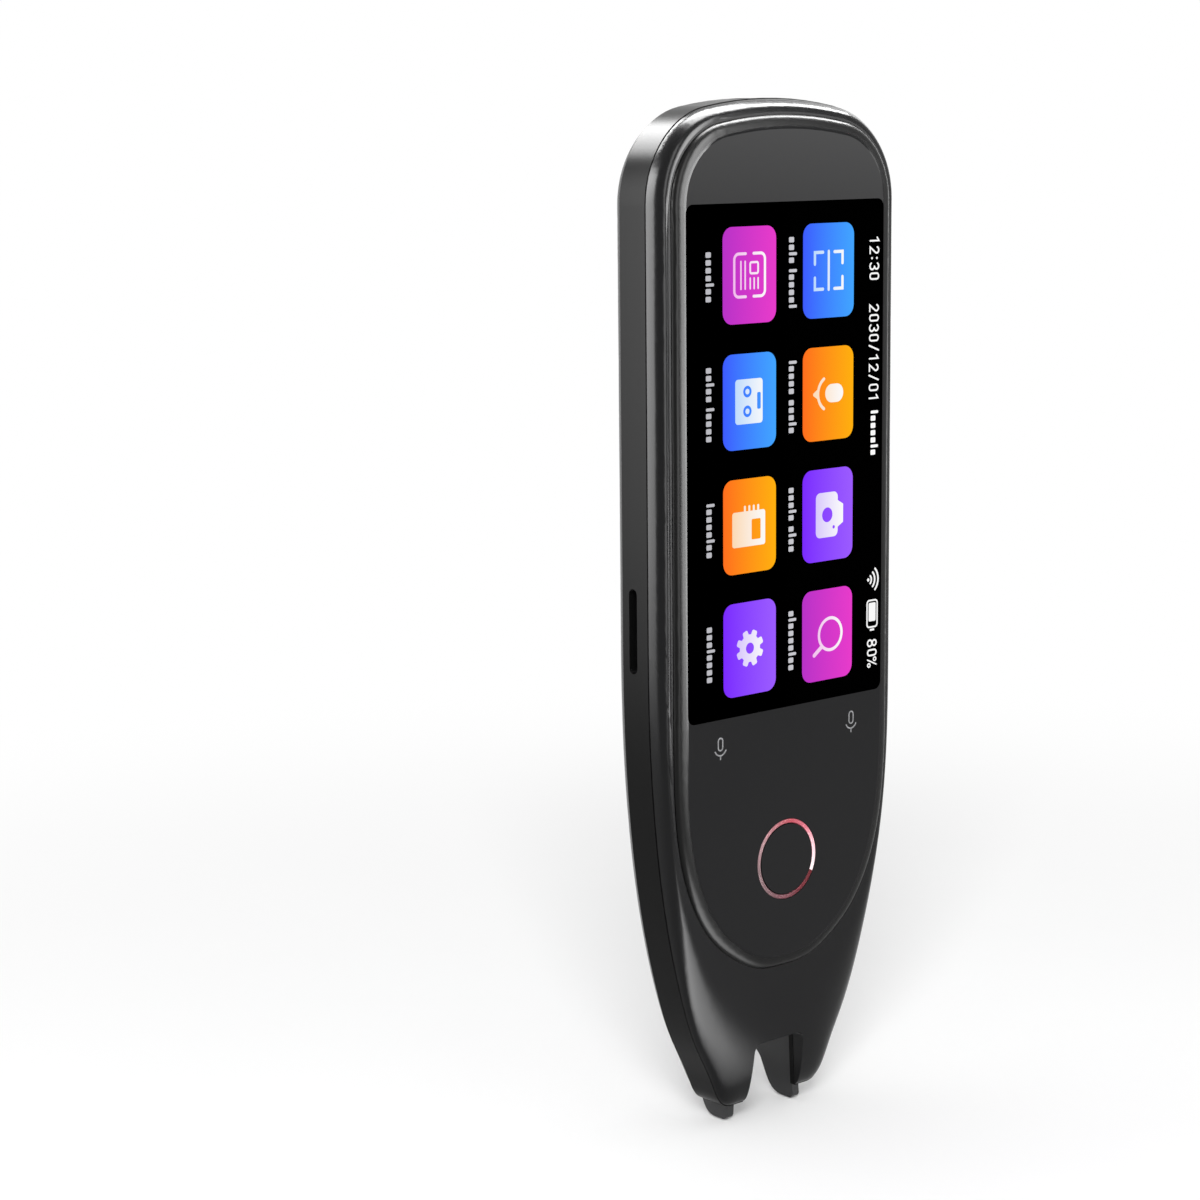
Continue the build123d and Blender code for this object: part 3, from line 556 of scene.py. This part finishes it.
def on_glass(name, shapes, across, height, material, lift=0.0, turn=PICTURE_TURN):
    """A thin plate on the face of the glass, drawn about a point and lifted off it."""
    mesh = flat_mesh(shapes, PRINT_THICKNESS)
    place = Matrix.Translation(Vector((across, GLASS_FACE - lift, height)) * MM)
    mesh.transform(place @ turn.to_4x4())
    mesh.materials.append(material)
    piece = placed_object(name, mesh)
    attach(piece, "housing")


# ---------------------------------------------------------------- signs on the screen, about 6 mm high


def scan_sign():
    """Four corner marks round a bar."""
    half_width, half_height, bar_half = 2.55, 2.75, 2.65
    gap_across, gap_along = 0.95, 1.15
    shapes = [stroke([(-bar_half, 0), (bar_half, 0)], 0.42)]
    for sx in (-1, 1):
        for sy in (-1, 1):
            corner = [(gap_across, half_height), (half_width, half_height), (half_width, gap_along)]
            shapes.append(stroke([(sx * x, sy * y) for x, y in corner], SIGN_LINE))
    return shapes


def excerpt_sign():
    """A split frame round a small picture and lines of print."""
    half_width, corner, corner_middle, split = 2.9, 0.8, 2.1, 0.75
    shapes = []
    for sy in (-1, 1):
        top = arc_points(corner, 180, 90, (-corner_middle, corner_middle), 6)
        top += arc_points(corner, 90, 0, (corner_middle, corner_middle), 6)
        side = [(-half_width, split), *top, (half_width, split)]
        shapes.append(stroke([(x, sy * y) for x, y in side], 0.4))
    shapes.append(box_line(1.5, 1.5, 0.25, 0.3, (-0.95, 0.85)))
    shapes += [stroke([(0.45, y), (1.85, y)], 0.24) for y in (1.6, 0.85, 0.1)]
    shapes += [stroke([(-1.85, y), (1.85, y)], 0.26) for y in (-0.85, -1.65)]
    return shapes


def voice_sign():
    """A microphone head over a shallow arc with a pointed foot."""
    head = rounded_box(2.6, 3.6, 1.29, (0, 1.2))
    arc = arc_points(2.44, 211, 329, (0, 0.39), 14)
    foot = [(-0.15, -3.0), (0.15, -3.0), (0.7, -2.1), (-0.7, -2.1)]
    return [[head], stroke(arc, SIGN_LINE), [foot]]


def recorder_sign():
    """A tape cassette with a notch and two reels."""
    reels = [(side * 1.35, -0.45) for side in (-1, 1)]
    body, notch = rounded_box(6.15, 5.2, 0.5, (0, -0.15)), rounded_box(2.3, 0.7, 0.2, (0, 1.75))
    holes, hubs = [circle(0.8, reel) for reel in reels], [[circle(0.38, reel)] for reel in reels]
    return [[body, notch, *holes], *hubs]


def camera_sign():
    """A camera with a raised top, its lens and a small lamp."""
    corner, across, low, high = 0.8, 2.4, -1.6, 1.2
    outline = arc_points(corner, -180, -90, (-across, low), 5)
    outline += arc_points(corner, -90, 0, (across, low), 5)
    outline += arc_points(corner, 0, 90, (across, high), 5)
    outline += [(1.9, 2.0), (1.3, 3.1), (-1.3, 3.1), (-1.9, 2.0)]
    outline += arc_points(corner, 90, 180, (-across, high), 5)
    return [[outline, circle(1.05, (0, -0.1)), circle(0.25, (1.85, 1.2))]]


def notes_sign():
    """A ring-bound book with a window."""
    cover, window = rounded_box(4.9, 6.3, 0.4, (0.4, -0.2)), rounded_box(2.85, 1.75, 0.2, (0.55, 1.2))
    top_binder, binder_pitch = 1.6, 0.85
    places = [(-2.2, top_binder - binder_pitch * index) for index in range(4)]
    return [[cover, window], *[[rounded_box(1.3, 0.36, 0.17, place)] for place in places]]


def search_sign():
    """A magnifying glass."""
    return [round_line(2.3, SIGN_LINE, (0, 0.6)), stroke([(1.65, -1.1), (2.75, -2.65)], 0.6)]


def gear_sign():
    """A cog with rounded teeth: each tooth is angles from its middle, with their radii."""
    teeth = 8
    tooth_shape = ((-15.5, 1.95), (-11, 2.5), (-7, 2.62), (7, 2.62), (11, 2.5), (15.5, 1.95))
    outline = []
    for tooth in range(teeth):
        for offset, radius in tooth_shape:
            angle = math.radians((tooth + 0.5) * 360 / teeth + offset)
            outline.append((radius * math.cos(angle), radius * math.sin(angle)))
    return [[outline, circle(0.78)]]


BLUE, ORANGE = ("3D5BFF", "42A5FF"), ("FF6E1E", "FFB00F")
PURPLE, MAGENTA = ("7A2BFF", "9C5CFF"), ("B833C8", "E83CCB")
TINTS = {BLUE: "BCDCFF", ORANGE: "FFDDB8", PURPLE: "D6C2FF", MAGENTA: "F6BDF0"}

# each sign's shapes and tile colours, and the lengths of its caption's word-like marks
SIGNS = {
    "scan": (scan_sign, BLUE, (4, 6)),
    "voice": (voice_sign, ORANGE, (5, 5)),
    "camera": (camera_sign, PURPLE, (5, 4)),
    "search": (search_sign, MAGENTA, (9,)),
    "excerpt": (excerpt_sign, MAGENTA, (7,)),
    "recorder": (recorder_sign, BLUE, (5, 5)),
    "notes": (notes_sign, ORANGE, (8,)),
    "settings": (gear_sign, PURPLE, (8,)),
}

# digits and signs 2 mm high and 1 mm wide, about their own middles
DIGITS = {
    "0": [box_line(0.8, 1.75, 0.39, STATUS_LINE)],
    "1": [stroke([(-0.35, 0.55), (0.1, 0.88), (0.1, -0.88)], STATUS_LINE)],
    "2": [stroke(arc_points(0.42, 165, -35, (0, 0.46), 9) + [(-0.42, -0.88), (0.46, -0.88)], STATUS_LINE)],
    "3": [stroke(arc_points(0.42, 155, -80, (0, 0.46), 9), STATUS_LINE),
          stroke(arc_points(0.46, 85, -155, (0, -0.44), 10), STATUS_LINE)],
    "8": [round_line(0.4, STATUS_LINE, (0, 0.48)), round_line(0.45, STATUS_LINE, (0, -0.45))],
    "/": [stroke([(-0.35, -0.95), (0.35, 0.95)], STATUS_LINE)],
    ":": [[circle(0.17, (0, 0.5))], [circle(0.17, (0, -0.5))]],
    "%": [round_line(0.26, 0.2, (-0.42, 0.6)), round_line(0.26, 0.2, (0.42, -0.6)),
          stroke([(-0.4, -0.9), (0.4, 0.9)], 0.2)],
}


def number_shapes(marks, start):
    """A row of digits that starts at a place along the picture."""
    shapes = []
    for mark in marks:
        pitch = DIGIT_PITCH * (COLON_SHARE if mark == ":" else 1)
        shapes += moved(DIGITS[mark], start + pitch / 2)
        start += pitch
    return shapes


def word_marks(lengths, seed):
    """Word-like marks with no letters in them: rows of small blocks, with some tall narrow ones."""
    shapes, start = [], 0.0
    for word, letters in enumerate(lengths):
        for letter in range(letters):
            width, top = TALL_MARK if (letter * 3 + word + seed) % 5 == 1 else SHORT_MARK
            middle = (start + width / 2, (top + MARK_FOOT) / 2)
            shapes.append([rounded_box(width, top - MARK_FOOT, MARK_CORNER, middle, 3)])
            start += width + MARK_GAP
        start += MARK_SPACE
    return moved(shapes, -(start - MARK_SPACE - MARK_GAP) / 2)


def status_shapes():
    """Time and date in plain digits, a word-like mark, signal arcs, a battery and its charge."""
    signal = [stroke(arc_points(radius, 45, 135, (0, -0.95), 8), 0.3) for radius in SIGNAL_RADII]
    signal.append([circle(0.24, (0, -0.85))])
    battery = [box_line(3.9, 2.1, 0.45, 0.24), [rounded_box(2.7, 1.45, 0.2, (-0.25, 0))],
               [rounded_box(0.3, 0.9, 0.12, (2.35, 0))]]
    shapes = number_shapes("12:30", CLOCK_START) + number_shapes("2030/12/01", DATE_START)
    shapes += moved(word_marks((7,), 1), WORD_MIDDLE)
    shapes += moved(signal, SIGNAL_MIDDLE) + moved(battery, BATTERY_MIDDLE)
    return shapes + number_shapes("80%", CHARGE_START)


def draw_screen():
    """The lit picture: a black field, eight signs in two rows with their captions, and the status row."""
    white = shining_material("screen_white", ("F2F2F6", "FFFFFF"), 0.95)
    caption = shining_material("screen_caption", ("C4C4CA", "D2D2D8"), 0.9)
    black = shining_material("screen_black", ("000000", "010101"), 0.5)
    middle = (SCREEN_LOW + SCREEN_HIGH) / 2
    field = rounded_box(SCREEN_HIGH - SCREEN_LOW, 2 * SCREEN_HALF, SCREEN_CORNER)
    tile = rounded_box(ICON_LENGTH, ICON_WIDTH, ICON_CORNER)
    on_glass("screen_field", [[field]], 0, middle, black)
    for index, (name, (sign, tones, words)) in enumerate(SIGNS.items()):
        column, row = divmod(index, ICON_ROWS)
        across, height = ICON_COLUMNS[column], ICON_TOP_ROW - ICON_PITCH * row
        tile_limits = (across - ICON_WIDTH / 2, across + ICON_WIDTH / 2)
        sign_limits = (across - SIGN_REACH, across + SIGN_REACH)
        tile_tone = shining_material("tile_" + name, tones, 1.0, tile_limits)
        sign_tone = shining_material("sign_" + name, (TINTS[tones], "FFFFFF"), 0.97, sign_limits)
        marks = word_marks(words, index)
        on_glass("tile_" + name, [[tile]], across, height, tile_tone, PRINT_THICKNESS)
        on_glass("sign_" + name, sign(), across, height, sign_tone, 2 * PRINT_THICKNESS)
        on_glass("caption_" + name, marks, CAPTION_COLUMNS[column], height, caption, PRINT_THICKNESS)
    on_glass("status_row", status_shapes(), STATUS_ACROSS, 0, white, PRINT_THICKNESS)


def draw_mic_marks():
    """The two grey microphone signs below the screen."""
    print_grey = finish_material("mark_print_grey", ("747476", "808082"), 0.5, specular=0.1, grain=20)
    head, cradle = box_line(0.85, 1.75, 0.42, 0.2, (0, 0.45)), arc_points(1.1, 205, 335, (0, -0.05), 10)
    shapes = [head, stroke(cradle, 0.2), stroke([(0, -1.3), (0, -1.65)], 0.22)]
    for side, name in ((-1, "mic_mark_left"), (1, "mic_mark_right")):
        on_glass(name, shapes, side * MIC_ACROSS, MIC_HEIGHT, print_grey, turn=UPRIGHT_TURN)


# ---------------------------------------------------------------- the rear camera


def turned_piece(name, profile, centre, material):
    """A closed solid turned about the Y axis over a flat base: radius and height pairs from rim to middle."""
    work = bmesh.new()
    rows = []
    for radius, height in [(profile[0][0], 0.0), *profile]:
        loop = at_angles(radius, full_turn(TURNED_STEPS), (0, 0))
        points = [Vector((x, height, z)) for x, z in loop]
        rows.append([work.verts.new((centre + point) * MM) for point in points])
    for lower, upper in zip(rows, rows[1:]):
        for step in range(TURNED_STEPS):
            after = (step + 1) % TURNED_STEPS
            work.faces.new((lower[step], lower[after], upper[after], upper[step]))
    work.faces.new(rows[0])
    work.faces.new(rows[-1])
    bmesh.ops.recalc_face_normals(work, faces=work.faces)
    mesh = finished_mesh(work, name, material)
    for face in mesh.polygons:
        face.use_smooth = len(face.vertices) == 4
    piece = placed_object(name, mesh)
    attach(piece, "housing")


def draw_camera_eye():
    """The rear camera's stepped black barrel and its domed lens, on the face of the black window."""
    low, high = node_box("camera_window")
    middle = Vector(((low.x + high.x) / 2, high.y, (low.z + high.z) / 2))
    angles = [math.radians(angle) for angle in range(0, 88, 6)]
    dome = [(EYE_RADIUS * math.cos(a), EYE_FOOT + EYE_RISE * math.sin(a)) for a in angles]
    black = finish_material("camera_barrel_black", ("08080A", "0C0C0E"), 0.4, specular=0.1, grain=4)
    turned_piece("camera_barrel", BARREL_PROFILE, middle, black)
    turned_piece("camera_eye", dome, middle + Vector((0, EYE_LIFT, 0)), lens_material(middle))


# ---------------------------------------------------------------- camera, light and surroundings


def place_camera():
    """The photograph's camera, turned aside so that the pen lies right of the frame's centre."""
    azimuth, pitch = math.radians(CAMERA_AZIMUTH), math.radians(CAMERA_PITCH)
    level = Vector((math.sin(azimuth), math.cos(azimuth), 0))
    ahead = level * math.cos(pitch) - Vector((0, 0, math.sin(pitch)))
    right = Vector((math.cos(azimuth), -math.sin(azimuth), 0))
    up = right.cross(ahead)
    middle = FRAME_PIXELS / 2
    aim = ahead * FOCAL_PIXELS + right * (middle - TARGET_PIXEL[0]) + up * (TARGET_PIXEL[1] - middle)
    aim.normalize()
    side = aim.cross(up).normalized()
    top = side.cross(aim)
    data = bpy.data.cameras.new("photo_camera")
    data.sensor_width = SENSOR
    data.lens = SENSOR * FOCAL_PIXELS / FRAME_PIXELS
    data.clip_start = 0.01
    data.clip_end = 20
    camera = placed_object("photo_camera", data)
    place = (CAMERA_TARGET - ahead * CAMERA_DISTANCE) * MM
    turned = Matrix((side, top, -aim)).transposed()
    camera.matrix_world = Matrix.Translation(place) @ turned.to_4x4()
    bpy.context.scene.camera = camera


def area_light(name, place, target, size, power):
    """A soft light at a place in millimetres, turned to a target. It shapes the form but isn't mirrored."""
    data = bpy.data.lights.new(name, "AREA")
    data.size = size * MM
    data.energy = power
    light = placed_object(name, data)
    light.location = Vector(place) * MM
    light.rotation_mode = "QUATERNION"
    light.rotation_quaternion = (Vector(target) - Vector(place)).to_track_quat("-Z", "Y")
    light.visible_glossy = False


def card_material(name, size, strengths, edge):
    """A card's light: graded from its lower to its upper edge, and fading to a plain level at its rim."""
    made = Surface(name)
    vector = made.position()
    light = made.spread(made.axis(vector, "Y"), -size[1] / 2, size[1] / 2, *[s - 1 for s in strengths])
    for axis, length in zip("XY", size):
        half = length / 2
        rim = made.near(made.axis(vector, axis), half * (1 - edge), half * edge)
        light = made.math("MULTIPLY", light, rim)
    made.feed(made.math("ADD", light, 1), "Emission Strength")
    made.set(Base_Color=(0, 0, 0, 1), Emission_Color=(1, 1, 1, 1), Specular_IOR_Level=0.0)
    return made.material


def soft_card(name, centre, size, turn, strengths, edge):
    """A lit card that only gloss shows, at a place in millimetres."""
    card = placed_object(name, grid_mesh(name, *size, 1, card_material(name, size, strengths, edge)))
    card.location = Vector(centre) * MM
    card.rotation_mode = "QUATERNION"
    card.rotation_quaternion = turn.to_quaternion()
    for flag in ("camera", "diffuse", "transmission", "volume_scatter", "shadow"):
        setattr(card, "visible_" + flag, False)


def place_cards():
    """All cards: the upright ones stand round the pen and face it."""
    up = Vector((0, 0, 1))
    for name, turn, distance, width, (low, high), strengths, edge in UPRIGHT_CARDS:
        angle = math.radians(turn)
        across = Vector((math.cos(angle), -math.sin(angle), 0))
        out = Vector((math.sin(angle), math.cos(angle), 0))
        centre = up * (low + high) / 2 - out * distance
        facing = Matrix((across, up, across.cross(up))).transposed()
        soft_card(name, centre, (width, high - low), facing, strengths, edge)
    for name, centre, size, turn, strengths, edge in LEVEL_CARDS:
        soft_card(name, centre, size, Matrix.Rotation(math.radians(turn), 3, "Z"), strengths, edge)


def backdrop_rays(nodes, links):
    """One for camera, glossy and transmission rays, which see the white background as it is."""
    path = nodes.new("ShaderNodeLightPath")
    value = path.outputs["Is Camera Ray"]
    for name in ("Is Glossy Ray", "Is Transmission Ray"):
        either = nodes.new("ShaderNodeMath")
        either.operation = "MAXIMUM"
        links.new(value, either.inputs[0])
        links.new(path.outputs[name], either.inputs[1])
        value = either.outputs[0]
    return value


def mix_shaders(tree, share, first, second, output):
    """Feeds an output node with the first shader, or with the second by a share."""
    mix = tree.nodes.new("ShaderNodeMixShader")
    tree.links.new(share, mix.inputs["Fac"])
    tree.links.new(first.outputs[0], mix.inputs[1])
    tree.links.new(second.outputs[0], mix.inputs[2])
    tree.links.new(mix.outputs[0], tree.nodes[output].inputs["Surface"])


def make_floor():
    """A pale floor that keeps the shadow at the foot and is white further out."""
    made = Surface("floor_pale")
    vector = made.position()
    made.feed(made.colours(made.noise(vector, 0.02), "F6F6F6", "F8F8F8"), "Base Color")
    made.set(Roughness=0.9, Specular_IOR_Level=0.0)
    from_middle = made.length(made.axis(vector, "X"), made.axis(vector, "Y"))
    far = made.spread(from_middle, *FLOOR_WHITE, 0, 1, "SMOOTHERSTEP")
    white = made.nodes.new("ShaderNodeEmission")
    white.inputs["Color"].default_value = (1, 1, 1, 1)
    share = made.math("MULTIPLY", far, backdrop_rays(made.nodes, made.links))
    mix_shaders(made.material.node_tree, share, made.shader, white, "Material Output")
    floor = placed_object("floor", grid_mesh("floor", 2 * FLOOR_HALF, 2 * FLOOR_HALF, 8, made.material))
    floor.location = (0, 0, -FLOOR_DROP * MM)


def make_world():
    """Plain soft light all round, seen as white."""
    world = bpy.data.worlds.new("pale_world")
    world.use_nodes = True
    tree = world.node_tree
    plain, shown = tree.nodes["Background"], tree.nodes.new("ShaderNodeBackground")
    for background, strength in ((plain, WORLD_LIGHT), (shown, 1.0)):
        background.inputs["Color"].default_value = (1, 1, 1, 1)
        background.inputs["Strength"].default_value = strength
    mix_shaders(tree, backdrop_rays(tree.nodes, tree.links), plain, shown, "World Output")
    bpy.context.scene.world = world


dress_nodes()
draw_screen()
draw_mic_marks()
draw_camera_eye()
place_camera()
make_floor()
make_world()
area_light("key_light", **KEY_LIGHT)
place_cards()
bpy.context.scene.view_settings.view_transform = "Standard"
